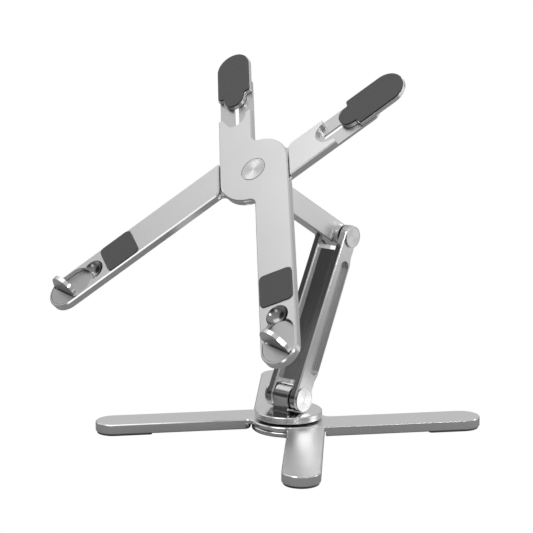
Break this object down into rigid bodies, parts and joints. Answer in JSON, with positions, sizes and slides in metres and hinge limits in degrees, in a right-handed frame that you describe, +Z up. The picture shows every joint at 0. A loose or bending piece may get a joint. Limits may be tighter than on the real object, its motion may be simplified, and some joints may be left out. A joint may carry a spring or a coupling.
{
  "type": "laptop stand",
  "caption": "Folding aluminium laptop stand: crossed base bars, turntable, friction arms and a crossed tray with flip-up hooks and sliding rubber-faced extensions.",
  "frame": {"origin": "on the hub axis at the table surface, in the middle of the hub's rubber pad", "axes": "+Z up, +X along the arm hinges to the user's right, +Y away from the user"},
  "size_m": [0.206, 0.2135, 0.2397],
  "materials": {
    "satin_aluminium": "fine bead-blasted satin faces with bright diamond-cut chamfers",
    "spun_aluminium": "lathe-spun faces with bright turned rims",
    "polished_tab": "satin faces with a polished rim",
    "steel": "machined",
    "silicone": "matt dark grey silicone",
    "black_nylon": "black friction washers"
  },
  "bodies": {
    "base": {"base_bar_lower": "satin_aluminium", "foot_pad_lower_front": "silicone", "foot_pad_lower_back": "silicone", "hub_pad": "silicone"},
    "base_upper": {"base_bar_upper": "satin_aluminium", "foot_pad_upper_right": "silicone", "foot_pad_upper_left": "silicone"},
    "swivel": {"swivel_disc": "spun_aluminium", "swivel_spindle": "steel", "spindle_nut": "steel", "swivel_washer": "black_nylon"},
    "lower_arm": {"lower_arm": "satin_aluminium", "lower_hinge_pin": "steel", "lower_hinge_cap_right": "spun_aluminium", "lower_hinge_cap_left": "spun_aluminium", "lower_hinge_washer_right": "black_nylon", "lower_hinge_washer_left": "black_nylon", "upper_hinge_pin": "steel", "upper_hinge_cap_right": "spun_aluminium", "upper_hinge_cap_left": "spun_aluminium", "upper_hinge_washer_right": "black_nylon", "upper_hinge_washer_left": "black_nylon"},
    "upper_arm": {"upper_arm": "satin_aluminium"},
    "tray_carrier": {"tray_bracket": "satin_aluminium", "tray_spindle": "steel", "tray_pivot_cap": "spun_aluminium", "tray_hinge_pin": "steel", "tray_hinge_cap_right": "spun_aluminium", "tray_hinge_cap_left": "spun_aluminium", "tray_hinge_washer_right": "black_nylon", "tray_hinge_washer_left": "black_nylon"},
    "tray_front": {"tray_bar_front": "satin_aluminium", "tray_pad_right": "silicone", "hook_base_right": "satin_aluminium", "hook_pin_right": "steel"},
    "tray_rear": {"tray_bar_rear": "satin_aluminium", "tray_pad_left": "silicone", "hook_base_left": "satin_aluminium", "hook_pin_left": "steel"},
    "extension_left": {"extension_plate_left": "satin_aluminium", "extension_pad_left": "silicone", "extension_screw_left": "steel"},
    "extension_right": {"extension_plate_right": "satin_aluminium", "extension_pad_right": "silicone", "extension_screw_right": "steel"},
    "hook_right": {"hook_tab_right": "polished_tab"},
    "hook_left": {"hook_tab_left": "polished_tab"}
  },
  "joints": [
    {"name": "base_fold", "type": "hinge", "parent": "base", "child": "base_upper", "pos_m": [0, 0, 0.00435], "axis": [0, 0, 1], "range_deg": [0, 76]},
    {"name": "swivel_turn", "type": "hinge", "parent": "base", "child": "swivel", "pos_m": [0, 0, 0.0089], "axis": [0, 0, 1], "continuous": true},
    {"name": "lower_arm_hinge", "type": "hinge", "parent": "swivel", "child": "lower_arm", "pos_m": [0, 0, 0.0223], "axis": [1, 0, 0], "range_deg": [-50, 25]},
    {"name": "upper_arm_hinge", "type": "hinge", "parent": "lower_arm", "child": "upper_arm", "pos_m": [0, 0.04984, 0.12226], "axis": [1, 0, 0], "range_deg": [-60, 20]},
    {"name": "tray_tilt", "type": "hinge", "parent": "upper_arm", "child": "tray_carrier", "pos_m": [0, -0.02276, 0.16452], "axis": [-1, 0, 0], "range_deg": [-40, 48]},
    {"name": "tray_front_fold", "type": "hinge", "parent": "tray_carrier", "child": "tray_front", "pos_m": [0, -0.03478, 0.17538], "axis": [0, -0.742, 0.6704], "range_deg": [-32, 0]},
    {"name": "tray_rear_fold", "type": "hinge", "parent": "tray_carrier", "child": "tray_rear", "pos_m": [0, -0.03478, 0.17538], "axis": [0, -0.742, 0.6704], "range_deg": [0, 37]},
    {"name": "extension_left_slide", "type": "slide", "parent": "tray_front", "child": "extension_left", "axis": [-0.5299, 0.5686, 0.6292], "range_m": [-0.017, 0.003]},
    {"name": "extension_right_slide", "type": "slide", "parent": "tray_rear", "child": "extension_right", "axis": [0.606, 0.5333, 0.5902], "range_m": [-0.017, 0.003]},
    {"name": "hook_right_flip", "type": "hinge", "parent": "tray_front", "child": "hook_right", "pos_m": [0.08602, -0.11066, 0.08924], "axis": [0.9848, -0.1164, -0.1288], "range_deg": [-80, 10]},
    {"name": "hook_left_flip", "type": "hinge", "parent": "tray_rear", "child": "hook_left", "pos_m": [-0.09626, -0.105, 0.0955], "axis": [0.9848, -0.1164, -0.1288], "range_deg": [-80, 10]}
  ]
}
